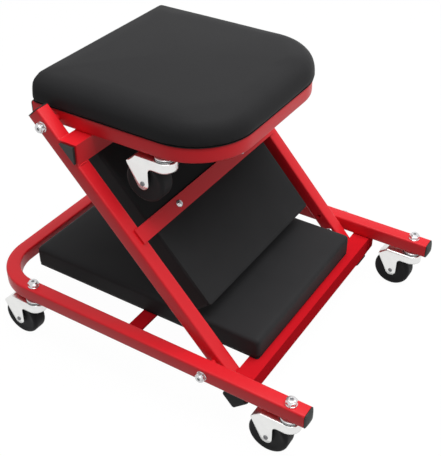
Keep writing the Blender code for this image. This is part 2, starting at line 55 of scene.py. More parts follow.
casterEnds = ("cap", "bend", "seat")
print("frame loaded:", len(nodes), "nodes")

# places that the frame gives
lowerPivot = Vector(joints["middle_fold"]["pos_m"])
upperPivot = Vector(joints["seat_fold"]["pos_m"])
lean = math.atan2(upperPivot.z - lowerPivot.z, lowerPivot.x - upperPivot.x)
middleFrame = Matrix.Translation(lowerPivot) @ Matrix.Rotation(lean - math.pi, 4, "Y")  # x runs up the tubes
baseLow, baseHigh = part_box("base_frame")
seatLow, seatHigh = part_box("seat_frame")
tube = baseHigh.z - baseLow.z
halfTube = tube / 2
railMiddle = (baseLow.z + baseHigh.z) / 2
seatMiddle = (seatLow.z + seatHigh.z) / 2
railY = baseHigh.y - halfTube
seatY = seatHigh.y - halfTube


def localBox(node, place):
    # lowest and highest corner of a node in another frame
    back = place.inverted()
    points = [back @ vertex.co for vertex in nodes[node].data.vertices]
    low = Vector([min(point[axis] for point in points) for axis in range(3)])
    high = Vector([max(point[axis] for point in points) for axis in range(3)])
    return low, high


tubeLow, tubeHigh = localBox("middle_tube_far", middleFrame)
middleY = (tubeLow.y + tubeHigh.y) / 2


class Wire:
    # one socket of a node tree; sums on it add Math nodes
    def __init__(self, tree, socket):
        self.tree = tree
        self.socket = socket

    def node(self, kind, settings=None, values=None, out=0):
        made = self.tree.nodes.new(kind)
        for key, value in (settings or {}).items():
            setattr(made, key, value)
        for key, value in (values or {}).items():
            if isinstance(value, Wire):
                self.tree.links.new(value.socket, made.inputs[key])
            else:
                made.inputs[key].default_value = value
        return Wire(self.tree, made.outputs[out])

    def maths(self, operation, first, second):
        return self.node("ShaderNodeMath", {"operation": operation}, {0: first, 1: second})

    def __add__(self, other):
        return self.maths("ADD", self, other)

    def __radd__(self, other):
        return self.maths("ADD", other, self)

    def __sub__(self, other):
        return self.maths("SUBTRACT", self, other)

    def __mul__(self, other):
        return self.maths("MULTIPLY", self, other)

    def noise(self, size, detail=2.0, rough=0.5):
        # size is the width of a blotch
        return self.node("ShaderNodeTexNoise", None,
                         {"Vector": self, "Scale": 1 / size, "Detail": detail, "Roughness": rough})

    def cells(self, size, feature="F1"):
        return self.node("ShaderNodeTexVoronoi", {"feature": feature}, {"Vector": self, "Scale": 1 / size})

    def stretched(self, x, y, z):
        return self.node("ShaderNodeVectorMath", {"operation": "MULTIPLY"}, {0: self, 1: (x, y, z)})

    def ramped(self, low, high):
        # 0 below low, 1 above high
        return self.node("ShaderNodeMapRange", {"interpolation_type": "SMOOTHSTEP"},
                         {"Value": self, "From Min": low, "From Max": high})

    def tint(self, first, second):
        # from the first colour at 0 to the second at 1
        return self.node("ShaderNodeMix", {"data_type": "RGBA"},
                         {0: self, 6: (*first, 1), 7: (*second, 1)}, 2)

    def bump(self, height, strength):
        return self.node("ShaderNodeBump", None, {"Height": self, "Distance": height, "Strength": strength})


def makeFinish(name, recipe, plain):
    # plain holds the values that are the same all over
    material = bpy.data.materials.new(name)
    material.use_nodes = True
    tree = material.node_tree
    shader = tree.nodes["Principled BSDF"]
    for key, value in plain.items():
        shader.inputs[key].default_value = value
    place = Wire(tree, tree.nodes.new("ShaderNodeTexCoord").outputs["Object"])
    for key, wire in recipe(place).items():
        tree.links.new(wire.socket, shader.inputs[key])
    return material


def twoTones(look, share=1.0):
    # deep and light colour of a look, both times the share
    return [[value * share for value in look[key]] for key in ("deep", "light")]


# the bar share darkens the red as painted shade on the bar and angle under the base
redLook = {"deep": (0.72, 0.011, 0.019), "light": (0.84, 0.017, 0.028), "scuff": (0.74, 0.04, 0.05),
           "blotch": 0.11, "peel": 1.6 * mm, "peelDeep": 0.25 * mm, "scuffSize": 0.02, "scuffLong": 7,
           "scuffShows": (0.67, 0.8), "scuffShare": 0.25, "rough": 0.32, "barShadeShare": 0.82}


def redPaint(place, share=1.0):
    # sprayed powder coat: faint orange peel, uneven gloss and a few rubbed marks; share darkens it, which
    # paints shade onto the bar and the angle under the base
    broad = place.noise(redLook["blotch"])
    peel = place.noise(redLook["peel"], 1.5)
    marks = place.stretched(1, 1, redLook["scuffLong"]).noise(redLook["scuffSize"], 4.0, 0.7)
    rubbed = marks.ramped(*redLook["scuffShows"])
    coat = broad.tint(*twoTones(redLook, share))
    shows = rubbed * redLook["scuffShare"] * share
    colour = rubbed.node("ShaderNodeMix", {"data_type": "RGBA"},
                         {0: shows, 6: coat, 7: (*redLook["scuff"], 1)}, 2)
    return {"Base Color": colour, "Roughness": redLook["rough"] + broad * 0.12 + rubbed * 0.18,
            "Normal": peel.bump(redLook["peelDeep"], 0.08)}


def shadedBarPaint(place):
    # the same red coat, darkened as painted shade and duller, on the bar and the angle under the base
    return redPaint(place, redLook["barShadeShare"])


# the pale share lightens the flat pads' vinyl as painted light
vinylLook = {"deep": (0.020, 0.020, 0.021), "light": (0.027, 0.027, 0.028), "blotch": 0.06, "grain": 1.5 * mm,
             "pore": 0.5 * mm, "relief": 0.2 * mm, "rough": 0.50, "paintedLightShare": 1.3}


def blackVinyl(place, share=1.0):
    # pressed grain: small soft cells with fine pores, and a little uneven sheen; share lightens it, which
    # paints light onto the flat pads
    broad = place.noise(vinylLook["blotch"], 3.0)
    cells = place.cells(vinylLook["grain"], "SMOOTH_F1")
    pores = place.noise(vinylLook["pore"], 2.0)
    height = cells * 0.8 + pores * 0.35
    return {"Base Color": broad.tint(*twoTones(vinylLook, share)),
            "Roughness": vinylLook["rough"] + broad * 0.10 - cells * 0.08,
            "Normal": height.bump(vinylLook["relief"], 0.18)}


def paintedLightVinyl(place):
    # the seat's vinyl, made paler on the flat pads as painted light
    return blackVinyl(place, vinylLook["paintedLightShare"])


clothLook = {"deep": (0.028, 0.028, 0.029), "light": (0.036, 0.036, 0.037), "blotch": 0.05, "dot": 1.8 * mm,
             "fibre": 0.9 * mm, "fibreLong": 4, "relief": 0.15 * mm, "rough": 0.72}


def backCloth(place):
    # thin bonded cloth with pressed dots
    broad = place.noise(clothLook["blotch"], 3.0)
    dots = place.cells(clothLook["dot"])
    fibres = place.stretched(1, clothLook["fibreLong"], 1).noise(clothLook["fibre"], 3.0, 0.7)
    height = dots * 0.5 + fibres * 0.5
    return {"Base Color": broad.tint(*twoTones(clothLook)), "Roughness": clothLook["rough"] + fibres * 0.15,
            "Normal": height.bump(clothLook["relief"], 0.2)}


plasticLook = {"deep": (0.019, 0.022, 0.021), "light": (0.028, 0.032, 0.030), "blotch": 0.03,
               "skin": 0.7 * mm, "relief": 0.12 * mm, "rough": 0.40}


def blackPlastic(place):
    # moulded plastic with a fine spark-eroded skin
    skin = place.noise(plasticLook["skin"], 2.0)
    broad = place.noise(plasticLook["blotch"])
    return {"Base Color": broad.tint(*twoTones(plasticLook)), "Roughness": plasticLook["rough"] + skin * 0.18,
            "Normal": skin.bump(plasticLook["relief"], 0.25)}


rubberLook = {"deep": (0.014, 0.014, 0.015), "light": (0.022, 0.021, 0.021), "dust": 0.012,
              "dustShows": (0.5, 0.8), "skin": 0.8 * mm, "relief": 0.15 * mm, "rough": 0.55}


def blackRubber(place):
    # rubber that picks up a little grey dust
    dust = place.noise(rubberLook["dust"], 4.0, 0.65).ramped(*rubberLook["dustShows"])
    skin = place.noise(rubberLook["skin"], 3.0)
    return {"Base Color": dust.tint(*twoTones(rubberLook)), "Roughness": rubberLook["rough"] + dust * 0.2,
            "Normal": skin.bump(rubberLook["relief"], 0.3)}


zincLook = {"deep": (0.74, 0.74, 0.73), "light": (0.83, 0.83, 0.82), "blotch": 9 * mm, "line": 4 * mm,
            "lineLong": 14, "relief": 0.05 * mm, "rough": 0.24}


def whiteZinc(place):
    # bright zinc plate: fine rolled lines and pale blotches
    blotch = place.noise(zincLook["blotch"], 3.0)
    lines = place.stretched(1, 1, zincLook["lineLong"]).noise(zincLook["line"], 3.0)
    return {"Base Color": blotch.tint(*twoTones(zincLook)), "Roughness": zincLook["rough"] + lines * 0.12,
            "Normal": lines.bump(zincLook["relief"], 0.08)}


steelLook = {"deep": (0.60, 0.60, 0.61), "light": (0.78, 0.78, 0.79), "blotch": 4 * mm, "fine": 0.6 * mm,
             "relief": 0.05 * mm, "rough": 0.16}


def brightSteel(place):
    # plated nuts, heads and races
    blotch = place.noise(steelLook["blotch"], 3.0)
    fine = place.noise(steelLook["fine"], 2.0)
    return {"Base Color": blotch.tint(*twoTones(steelLook)), "Roughness": steelLook["rough"] + blotch * 0.14,
            "Normal": fine.bump(steelLook["relief"], 0.15)}


oiledLook = {"deep": (0.16, 0.16, 0.17), "light": (0.26, 0.26, 0.27), "blotch": 3 * mm, "turning": 0.9 * mm,
             "turningLong": 9, "relief": 0.08 * mm, "rough": 0.34}


def oiledSteel(place):
    # cut thread ends and rivets, duller than the plating round them
    blotch = place.noise(oiledLook["blotch"], 3.0)
    turnings = place.stretched(1, 1, oiledLook["turningLong"]).noise(oiledLook["turning"], 2.0)
    return {"Base Color": blotch.tint(*twoTones(oiledLook)), "Roughness": oiledLook["rough"] + turnings * 0.2,
            "Normal": turnings.bump(oiledLook["relief"], 0.3)}


finishes = {
    "red_paint": makeFinish("redPowderCoat", redPaint, {"Specular IOR Level": 0.30}),
    "red_painted_shade": makeFinish("redBarPaintedShade", shadedBarPaint, {"Specular IOR Level": 0.0}),
    "black_vinyl": makeFinish("blackVinylCover", blackVinyl, {"Specular IOR Level": 0.05}),
    "painted_light_vinyl": makeFinish("paintedLightVinylCover", paintedLightVinyl, {"Specular IOR Level": 0.05}),
    "back_cloth": makeFinish("blackBackCloth", backCloth, {"Specular IOR Level": 0.03}),
    "black_plastic": makeFinish("blackCapPlastic", blackPlastic, {"Specular IOR Level": 0.35}),
    "black_rubber": makeFinish("blackWheelRubber", blackRubber, {"Specular IOR Level": 0.12}),
    "white_zinc": makeFinish("whiteZincPlate", whiteZinc, {"Metallic": 1.0}),
    "bright_steel": makeFinish("brightPlatedSteel", brightSteel, {"Metallic": 0.75}),
    "oiled_steel": makeFinish("oiledSteel", oiledSteel, {"Metallic": 0.6}),
}
print("finishes made")


def put(name, mesh, finish, body, place=None, stands=()):
    piece = bpy.data.objects.new(name, mesh)
    scene.collection.objects.link(piece)
    piece.matrix_world = place or Matrix.Identity(4)
    if not mesh.materials:
        mesh.materials.append(finishes[finish])
    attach(piece, body)
    if stands:
        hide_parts(*stands)
    return piece


def meshOf(shape, sharp=40):
    bmesh.ops.recalc_face_normals(shape, faces=shape.faces)
    mesh = bpy.data.meshes.new("shape")
    shape.to_mesh(mesh)
    shape.free()
    mesh.shade_smooth()
    mesh.set_sharp_from_angle(angle=math.radians(sharp))
    return mesh


def loft(rings, looped=False, sharp=40):
    shape = bmesh.new()
    rows = [[shape.verts.new(point) for point in ring] for ring in rings]
    pairs = list(zip(rows, rows[1:]))
    if looped:
        pairs.append((rows[-1], rows[0]))
    else:
        shape.faces.new(rows[0])
        shape.faces.new(rows[-1])
    for first, second in pairs:
        for index in range(len(first)):
            after = (index + 1) % len(first)
            shape.faces.new((first[index], first[after], second[after], second[index]))
    return meshOf(shape, sharp)


def arc(centre, radius, start, end, steps):
    points = []
    for step in range(steps + 1):
        angle = start + (end - start) * step / steps
        points.append((centre[0] + radius * math.cos(angle), centre[1] + radius * math.sin(angle)))
    return points


def roundedSquare(half, radius, steps):
    points = []
    for signU, signV, quarter in ((1, 1, 0), (-1, 1, 1), (-1, -1, 2), (1, -1, 3)):
        centre = (signU * (half - radius), signV * (half - radius))
        points += arc(centre, radius, quarter * math.pi / 2, (quarter + 1) * math.pi / 2, steps)
    return points


def turned(rows, count=36, looped=False, sharp=40):
    # rows of (radius, height) or (radius, height, "hex"), where the radius is half the width across flats
    sixth = math.pi / 3
    rings = []
    for radius, height, *flat in rows:
        ring = []
        for index in range(count):
            angle = 2 * math.pi * index / count
            reach = radius / math.cos(angle % sixth - sixth / 2) if flat else radius
            ring.append((reach * math.cos(angle), reach * math.sin(angle), height))
        rings.append(ring)
    return loft(rings, looped, sharp)


def carve(mesh, tool, sharp=40):
    # cuts the tool's shape out of the mesh
    body = bpy.data.objects.new("body", mesh)
    cutter = bpy.data.objects.new("cutter", tool)
    for item in (body, cutter):
        scene.collection.objects.link(item)
    step = body.modifiers.new("cut", "BOOLEAN")
    step.object = cutter
    graph = bpy.context.evaluated_depsgraph_get()
    cut = bpy.data.meshes.new_from_object(body.evaluated_get(graph))
    for item in (body, cutter):
        bpy.data.objects.remove(item)
    cut.shade_smooth()
    cut.set_sharp_from_angle(angle=math.radians(sharp))
    return cut


def turnTo(way):
    # turn that takes +Z to the given way
    return Vector((0, 0, 1)).rotation_difference(Vector(way)).to_matrix().to_4x4()


# square tubes
tubing = {"corner": 2.6 * mm, "cornerSteps": 5, "bendSteps": 22, "baseBend": 0.070, "seatBend": 0.076,
          "spareHole": 3.0 * mm, "spareHoleAt": 0.028, "spareHoleDeep": 7 * mm}


def sweepTube(stations):
    # a station is a point on the middle line, its outward way and its upward way
    section = roundedSquare(halfTube, tubing["corner"], tubing["cornerSteps"])
    return loft([[point + out * u + up * v for u, v in section] for point, out, up in stations], sharp=50)


def bentTube(openX, endX, halfWidth, radius, height):
    # from the near open end round both bends to the far one; endX is the middle of the cross run
    way = 1 if endX > openX else -1
    up = Vector((0, 0, 1))
    stations = [(Vector((openX, -halfWidth, height)), Vector((0, -1, 0)), up)]
    for side in sides.values():
        centre = Vector((endX - way * radius, side * (halfWidth - radius), height))
        for step in range(tubing["bendSteps"] + 1):
            turn = math.pi / 2 * step / tubing["bendSteps"]
            if side > 0:
                turn = math.pi / 2 - turn
            out = Vector((way * math.sin(turn), side * math.cos(turn), 0))
            stations.append((centre + out * radius, out, up))
    stations.append((Vector((openX, halfWidth, height)), Vector((0, 1, 0)), up))
    return sweepTube(stations)


baseTube = bentTube(baseHigh.x, baseLow.x + halfTube, railY, tubing["baseBend"] - halfTube, railMiddle)
put("base_rail_tube", baseTube, "red_paint", "base", stands=["base_frame"])
seatTube = bentTube(seatLow.x, seatHigh.x - halfTube, seatY, tubing["seatBend"] - halfTube, seatMiddle)
put("seat_rail_tube", seatTube, "red_paint", "seat", stands=["seat_frame"])
for name, side in sides.items():
    y = side * middleY
    ends = [Vector((x, y, 0)) for x in (tubeLow.x, tubeHigh.x)]
    link = sweepTube([(end, Vector((0, side, 0)), Vector((0, 0, 1))) for end in ends])
    drill = turned([(tubing["spareHole"], -tubing["spareHoleDeep"]), (tubing["spareHole"], tube)], 24)
    face = Vector((tubing["spareHoleAt"], side * (middleY - halfTube), 0))
    drill.transform(Matrix.Translation(face) @ turnTo((0, -side, 0)))
    put(f"middle_link_tube_{name}", carve(link, drill, 50), "red_paint", "middle", middleFrame,
        [f"middle_tube_{name}"])
print("tubes made")

# plates, angles, caps and feet that keep their solid shape, most of them with softened edges
softened = {"base_cross_bar": 0.5, "stop_angle": 0.7, "middle_cross_bar": 0.5, "seat_rest_angle": 0.6,
            "rest_angle_cap_near": 0.7, "rest_angle_cap_far": 0.7}
# the bar and the angle take the red darkened as painted shade
kept = {"red_painted_shade": ["base_cross_bar", "stop_angle"],
        "red_paint": ["middle_cross_bar", "seat_rest_angle", "seat_rear_tube"],
        "black_plastic": ["rest_angle_cap_near", "rest_angle_cap_far"],
        "black_rubber": ["middle_foot_near", "middle_foot_far"]}
for finish, names in kept.items():
    for name in names:
        solid = nodes[name]
        solid.data.materials.clear()
        solid.data.materials.append(finishes[finish])
        if name in softened:
            edge = solid.modifiers.new("edge", "BEVEL")
            edge.width = softened[name] * mm
            edge.segments = 2
            edge.limit_method = "ANGLE"
            edge.angle_limit = math.radians(40)

# the upright flange of the stop angle runs on under the far rail
stopLow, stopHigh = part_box("stop_angle")
barThick = 3.0 * mm
flangeSizes = {"start": 1.0 * mm, "past": 8.0 * mm, "tip": 0.8 * mm, "tipShare": 0.97, "corner": 0.06}
flangeHigh = stopHigh.z - barThick - stopLow.z
flangeMiddle = Vector((stopHigh.x - barThick / 2, 0, stopLow.z + flangeHigh / 2))
flangePast = railY + flangeSizes["past"]
flangeEnds = [(railY - halfTube - flangeSizes["start"], 1.0), (flangePast, 1.0),
              (flangePast + flangeSizes["tip"], flangeSizes["tipShare"])]
flangeRings = [[flangeMiddle + Vector((u * barThick * share, y, v * flangeHigh * share))
                for u, v in roundedSquare(0.5, flangeSizes["corner"], 4)] for y, share in flangeEnds]
# the flange end takes the same red darkened as painted shade
put("stop_flange_end", loft(flangeRings), "red_painted_shade", "base")

# tube end caps with a pillowed face
capSizes = {"rim": 1.2 * mm, "air": 0.3 * mm, "round": 0.35 * mm, "rings": 8, "pillow": 0.8,
            "turnsRound": 0.6, "domed": 3.5 * mm, "flat": 0.6 * mm}


def capMesh(dome):
    rim = capSizes["air"] + capSizes["rim"]
    rows = [(halfTube - capSizes["round"], capSizes["air"]), (halfTube, capSizes["air"] + capSizes["round"]),
            (halfTube, rim)]
    for step in range(1, capSizes["rings"]):
        share = step / capSizes["rings"]
        rise = math.sin(share * math.pi / 2) ** capSizes["pillow"]
        rows.append((halfTube * (1 - share), rim + dome * rise))
    rings = []
    for half, height in rows:
        # towards the middle the square rings turn round
        grown = capSizes["turnsRound"] * (1 - half / halfTube)
        corner = tubing["corner"] + (half - tubing["corner"]) * grown
        ring = roundedSquare(half, min(corner, half * 0.98), tubing["cornerSteps"])
        rings.append([(u, v, height) for u, v in ring])
    return loft(rings, sharp=55)


domed, flat = capMesh(capSizes["domed"]), capMesh(capSizes["flat"])
for name, side in sides.items():
    ends = {"base": (Matrix.Translation((baseHigh.x, side * railY, railMiddle)), (1, 0, 0)),
            "middle": (middleFrame @ Matrix.Translation((tubeHigh.x, side * middleY, 0)), (1, 0, 0)),
            "seat": (Matrix.Translation((seatLow.x, side * seatY, seatMiddle)), (-1, 0, 0))}
    for body, (place, way) in ends.items():
        face = flat if body == "middle" else domed
        put(f"{body}_tube_plug_{name}", face, "black_plastic", body, place @ turnTo(way),
            [f"{body}_end_cap_{name}"])
print("plates and caps made")

# bolts, nuts and screws
hardware = {"flange": 1.14, "flangeHigh": 0.9 * mm, "hexHigh": 5.2 * mm, "collar": 0.86,
            "collarHigh": 1.7 * mm, "mouth": 0.34, "edge": 0.2 * mm, "lip": 0.3 * mm, "chamfer": 0.8 * mm,
            "domeSteps": 8, "headHigh": 2.6 * mm, "headLip": 0.5 * mm, "sleeve": 0.75, "sleeveBore": 0.6,
            "screwHead": 5.2 * mm, "screwHigh": 3.4 * mm, "slot": 1.1 * mm, "air": 0.3 * mm,
            "screwAir": 0.05 * mm}
stemHex, boltHex, boltScale = 6.5 * mm, 6.0 * mm, 0.92


def lockNutMesh(half, scale):
    # small flange, hexagon with a turned chamfer, then the round collar that grips the insert
    low = hardware["flangeHigh"] * scale
    top = low + hardware["hexHigh"] * scale
    collarTop = top + hardware["collarHigh"] * scale
    flange, collar, mouth = (half * hardware[key] for key in ("flange", "collar", "mouth"))
    edge, lip, chamfer = (hardware[key] for key in ("edge", "lip", "chamfer"))
    rows = [(mouth, 0), (flange - edge, 0), (flange, edge), (flange, low * 0.7), (half, low * 1.3),
            (half, low * 1.3, "hex"), (half, top - chamfer, "hex"), (half * 1.01, top - lip),
            (collar + lip, top), (collar, top + lip), (collar, collarTop - chamfer),
            (collar - lip, collarTop - 0.25 * mm), (collar - 1.0 * mm, collarTop), (mouth, collarTop - edge),
            (mouth * 0.98, collarTop - 1.2 * mm)]
    return turned(rows, 36, sharp=35)


def threadMesh(half, scale):
    # dark thread end seen in the nut's mouth; rows of a share of the mouth and millimetres below the top
    mouth = half * hardware["mouth"]
    top = (hardware["flangeHigh"] + hardware["hexHigh"] + hardware["collarHigh"]) * scale
    rows = [(1.0, 1.4), (0.99, 0.5), (0.8, 0.4), (0.7, 0.8), (0.3, 0.8)]
    return turned([(mouth * share, top - drop * mm) for share, drop in rows], 24)


def domeRows(radius, low, high):
    # quarter round from the edge at low up to near the top at high
    turns = [math.pi / 2 * step / hardware["domeSteps"] for step in range(1, hardware["domeSteps"])]
    return [(radius * math.cos(turn), low + (high - low) * math.sin(turn)) for turn in turns]


def boltHeadMesh():
    # low round head with a small flat lip
    lip = hardware["headLip"]
    rows = [(boltHex * 0.6, 0), (boltHex, 0), (boltHex, lip)]
    return turned(rows + domeRows(boltHex, lip, hardware["headHigh"]), 36, sharp=50)


def sleeveMesh(radius, length):
    # plain tube with broken edges
    bore, edge = radius * hardware["sleeveBore"], hardware["lip"]
    rows = [(bore, 0), (radius - edge, 0), (radius, edge), (radius, length - edge), (radius - edge, length),
            (bore, length)]
    return turned(rows, 32, looped=True)


def screwHeadMesh():
    # domed head with a cross recess; +Z points out of the board
    radius = hardware["screwHead"]
    rows = [(radius * 0.5, 0), (radius, 0)] + domeRows(radius, 0, hardware["screwHigh"])
    head = turned(rows, 32)
    for turn in (0, math.pi / 2):
        arm = bmesh.new()
        bmesh.ops.create_cube(arm, size=1.0, matrix=Matrix.Rotation(turn, 4, "Z") @ Matrix.Diagonal(
            (radius * 1.15, hardware["slot"], hardware["screwHigh"] * 1.2, 1)))
        bmesh.ops.translate(arm, verts=arm.verts, vec=(0, 0, hardware["screwHigh"]))
        head = carve(head, meshOf(arm))
    return head


stemNut, stemThread = lockNutMesh(stemHex, 1.0), threadMesh(stemHex, 1.0)
boltNut, boltThread = lockNutMesh(boltHex, boltScale), threadMesh(boltHex, boltScale)
boltHead, screwHead = boltHeadMesh(), screwHeadMesh()
pivots = {"lower": ("base", lowerPivot, baseHigh.y, middleY),
          "upper": ("middle", upperPivot, middleY + halfTube, seatY)}
for part, (body, centre, outerY, innerY) in pivots.items():
    for name, side in sides.items():
        bolt = f"{part}_pivot_bolt_{name}"
        inside = Matrix.Translation((centre.x, side * (innerY - halfTube - hardware["air"]), centre.z))
        inward = inside @ turnTo((0, -side, 0))
        put(f"{part}_bolt_head_{name}", boltHead, "bright_steel", body, inward, [bolt])
        outside = Matrix.Translation((centre.x, side * (outerY + hardware["air"]), centre.z))
        outward = outside @ turnTo((0, side, 0))
        put(f"{part}_bolt_nut_{name}", boltNut, "bright_steel", body, outward, [bolt])
        put(f"{part}_bolt_thread_{name}", boltThread, "oiled_steel", body, outward)
        low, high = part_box(f"{part}_pivot_spacer_{name}")
        sleeve = sleeveMesh((high.z - low.z) / 2 * hardware["sleeve"], high.y - low.y)
        spot = Matrix.Translation((centre.x, low.y, centre.z)) @ turnTo((0, 1, 0))
        put(f"{part}_hinge_sleeve_{name}", sleeve, "red_paint", body, spot, [f"{part}_pivot_spacer_{name}"])

# screws under the boards; a turn is the way that a cross recess points
screwTurns = {"middle": 0.5, "middleSide": 0.3, "others": 0.8}
barLow = localBox("middle_cross_bar", middleFrame)[0]
for name, side in sides.items():
    low, high = localBox(f"middle_pad_screw_{name}", middleFrame)
    spot = Vector(((low.x + high.x) / 2, (low.y + high.y) / 2, barLow.z - hardware["screwAir"]))
    turn = Matrix.Rotation(screwTurns["middle"] + side * screwTurns["middleSide"], 4, "Z")
    place = middleFrame @ Matrix.Translation(spot) @ turnTo((0, 0, -1)) @ turn
    put(f"middle_board_screw_{name}", screwHead, "bright_steel", "middle", place,
        [f"middle_pad_screw_{name}"])

crossLow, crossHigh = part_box("base_cross_bar")
rearLow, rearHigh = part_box("seat_rear_tube")
crossX, rearX = (crossLow.x + crossHigh.x) / 2, (rearLow.x + rearHigh.x) / 2
angleIn, rearSunk = 8 * mm, 3.2 * mm
boardScrews = {
    "base_bar": {"body": "base", "x": crossX, "spread": 0.075, "z": crossLow.z},
    "base_angle": {"body": "base", "x": stopLow.x + angleIn, "spread": 0.075, "z": stopHigh.z - barThick},
    "seat_rear": {"body": "seat", "x": rearX, "spread": 0.070, "z": rearLow.z + rearSunk},
    "seat_front": {"body": "seat", "x": seatHigh.x - halfTube, "spread": 0.040, "z": seatLow.z},
}
for part, row in boardScrews.items():
    for name, side in sides.items():
        spot = Matrix.Translation((row["x"], side * row["spread"], row["z"] - hardware["screwAir"]))
        place = spot @ turnTo((0, 0, -1)) @ Matrix.Rotation(side * screwTurns["others"], 4, "Z")
        put(f"{part}_screw_{name}", screwHead, "bright_steel", row["body"], place)
print("fasteners made")

# casters, about the swivel with z = 0 at the tube's underside
forkSizes = {"plate": 2.0 * mm, "tail": 34.0 * mm, "drop": 9.5 * mm, "skirt": 11.9 * mm, "throat": 6.0 * mm,
             "fold": 2.6 * mm, "foldShare": 0.45, "slantFrom": 0.035, "arcsApart": 0.02, "foldSteps": 5,
             "dropSteps": 6, "noseSteps": 26, "slantSteps": 14, "bossSteps": 20, "throatSteps": 10}
wheelSizes = {"rimIn": 1.2 * mm, "shoulder": 4.5 * mm, "shoulderEnd": 0.06, "shoulderSteps": 9,
              "crown": 0.02 * mm, "crownFrom": 0.3}
casterFit = {"rivetAir": 0.1 * mm, "pinAir": 0.1 * mm, "nutAir": 0.15 * mm, "nutTurn": 0.35}
# turned parts as rows of radius and height in millimetres; the race is two cups with a groove between them,
# and two dark rings are painted shade: one in the groove, one in the gap between the race and the fork's
# crown
casterRows = {
    "race": [(5, -4.4), (11.3, -4.4), (12.0, -4.15), (12.2, -3.6), (11.9, -3.1), (10.6, -2.9), (10.4, -2.4),
             (11.9, -2.15), (12.4, -1.7), (12.5, -1.2), (12.2, -0.6), (11.2, -0.35), (5, -0.35)],
    "grooveShade": [(9, -3.1), (12.1, -3.1), (12.3, -2.65), (12.1, -2.2), (9, -2.2)],
    "crownGapShade": [(9, -4.65), (12.6, -4.65), (12.8, -4.3), (12.4, -3.9), (9, -3.9)],
    "kingPin": [(2, -2.0), (5.5, -1.9), (7.6, -1.0), (8, 0), (5, 0.2)],
    "rivetHead": [(1.0, 0.4), (1.4, 0.9), (1.9, 1.1), (2.6, 0.9), (3.0, 0.4), (3.1, 0), (2.4, 0)],
    "boss": [(3.2, 0), (7.0, 0), (7.8, -0.4)],
    "web": [(8.8, -0.9), (11, -1.2), (17.5, -1.1), (19.8, -0.5)],
}
swivelSpot = Vector(joints["swivel_cap_near"]["pos_m"])
axleSpot = Vector(joints["spin_cap_near"]["pos_m"]) - swivelSpot
forkLow, forkHigh = (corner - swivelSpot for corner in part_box("caster_fork_cap_near"))
wheelLow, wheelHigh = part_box("caster_wheel_cap_near")
wheelRadius = (wheelHigh.z - wheelLow.z) / 2
hubHalf = (wheelHigh.y - wheelLow.y) / 2


def forkMesh():
    # pressed plate: a strip runs from one back corner round the nose to the other,
    # under a crown and a sloping flap
    half, crown = forkHigh.y, forkHigh.z
    boss, throat, tail = axleSpot.z - forkLow.z, forkSizes["throat"], -forkSizes["tail"]
    skirt = crown - forkSizes["skirt"]
    ear = Vector((forkLow.x, crown - forkSizes["drop"]))
    axle = Vector((axleSpot.x, axleSpot.z))
    reach = ear - axle
    tangent = math.atan2(reach.y, reach.x) + math.acos(boss / reach.length)
    touch = axle + boss * Vector((math.cos(tangent), math.sin(tangent)))
    start, count, apart = (forkSizes[key] for key in ("slantFrom", "slantSteps", "arcsApart"))
    slants = [start + (1 - start) * step / count for step in range(count)]
    edge = [ear.lerp(touch, share)[:] for share in slants]
    edge += arc(axle, boss, tangent, 2 * math.pi - apart, forkSizes["bossSteps"])
    throatCentre = (axle.x + boss + throat, skirt - throat)
    edge += arc(throatCentre, throat, math.pi - apart, math.pi / 2, forkSizes["throatSteps"])
    edge.append((0, skirt))
    columns = [(Vector((x, -half)), Vector((0, -1)), z) for x, z in edge]
    for step in range(1, forkSizes["noseSteps"]):
        turn = -math.pi / 2 + math.pi * step / forkSizes["noseSteps"]
        out = Vector((math.cos(turn), math.sin(turn)))
        columns.append((out * half, out, skirt))
    columns += [(Vector((x, half)), Vector((0, 1)), z) for x, z in reversed(edge)]
    shape = bmesh.new()
    strips = []
    for spot, out, low in columns:
        top = crown - forkSizes["drop"] * max(0, tail - spot.x) / (tail - ear.x)
        fold = min(forkSizes["fold"], (top - low) * forkSizes["foldShare"])
        strip = []
        for step in range(forkSizes["foldSteps"] + 1):
            turn = math.pi / 2 * step / forkSizes["foldSteps"]
            inset = spot - out * fold * (1 - math.sin(turn))
            strip.append(shape.verts.new((inset.x, inset.y, top - fold * (1 - math.cos(turn)))))
        for step in range(1, forkSizes["dropSteps"] + 1):
            drop = top - fold + (low - top + fold) * step / forkSizes["dropSteps"]
            strip.append(shape.verts.new((spot.x, spot.y, drop)))
        strips.append(strip)
    for first, second in zip(strips, strips[1:]):
        for row in range(len(first) - 1):
            shape.faces.new((first[row], first[row + 1], second[row + 1], second[row]))
    rim = [strip[0] for strip in strips]
    for index in range(len(rim) // 2):
        across = [rim[index], rim[index + 1], rim[-2 - index], rim[-1 - index]]
        shape.faces.new(list(dict.fromkeys(across)))
    mesh = meshOf(shape, 50)
    if mesh.polygons[len(mesh.polygons) - 1].normal.z < 0:
        mesh.flip_normals()
    return mesh


def profile(name, start=0):
    # a turned part's rows in metres, with its heights counted from start
    return [(radius * mm, start + height * mm) for radius, height in casterRows[name]]


def axleMesh():
    # hollow rivet through the fork, with a rolled lip on each head
    head = profile("rivetHead", forkHigh.y + casterFit["rivetAir"])
    return turned(head + [(radius, -height) for radius, height in reversed(head)], 28)


def wheelMesh():
    # one-piece wheel: hub boss, shallow web, thick rounded rim and a lightly crowned tread
    half, shoulder = hubHalf - wheelSizes["rimIn"], wheelSizes["shoulder"]
    rows = profile("boss", hubHalf) + profile("web", half)
    rows += arc((wheelRadius - shoulder, half - shoulder), shoulder, math.pi / 2, wheelSizes["shoulderEnd"],
                wheelSizes["shoulderSteps"])
    rows += [(wheelRadius - wheelSizes["crown"], half * wheelSizes["crownFrom"]), (wheelRadius, 0)]
    rows += [(reach, -height) for reach, height in reversed(rows[:-1])]
    return turned(rows, 72, looped=True)


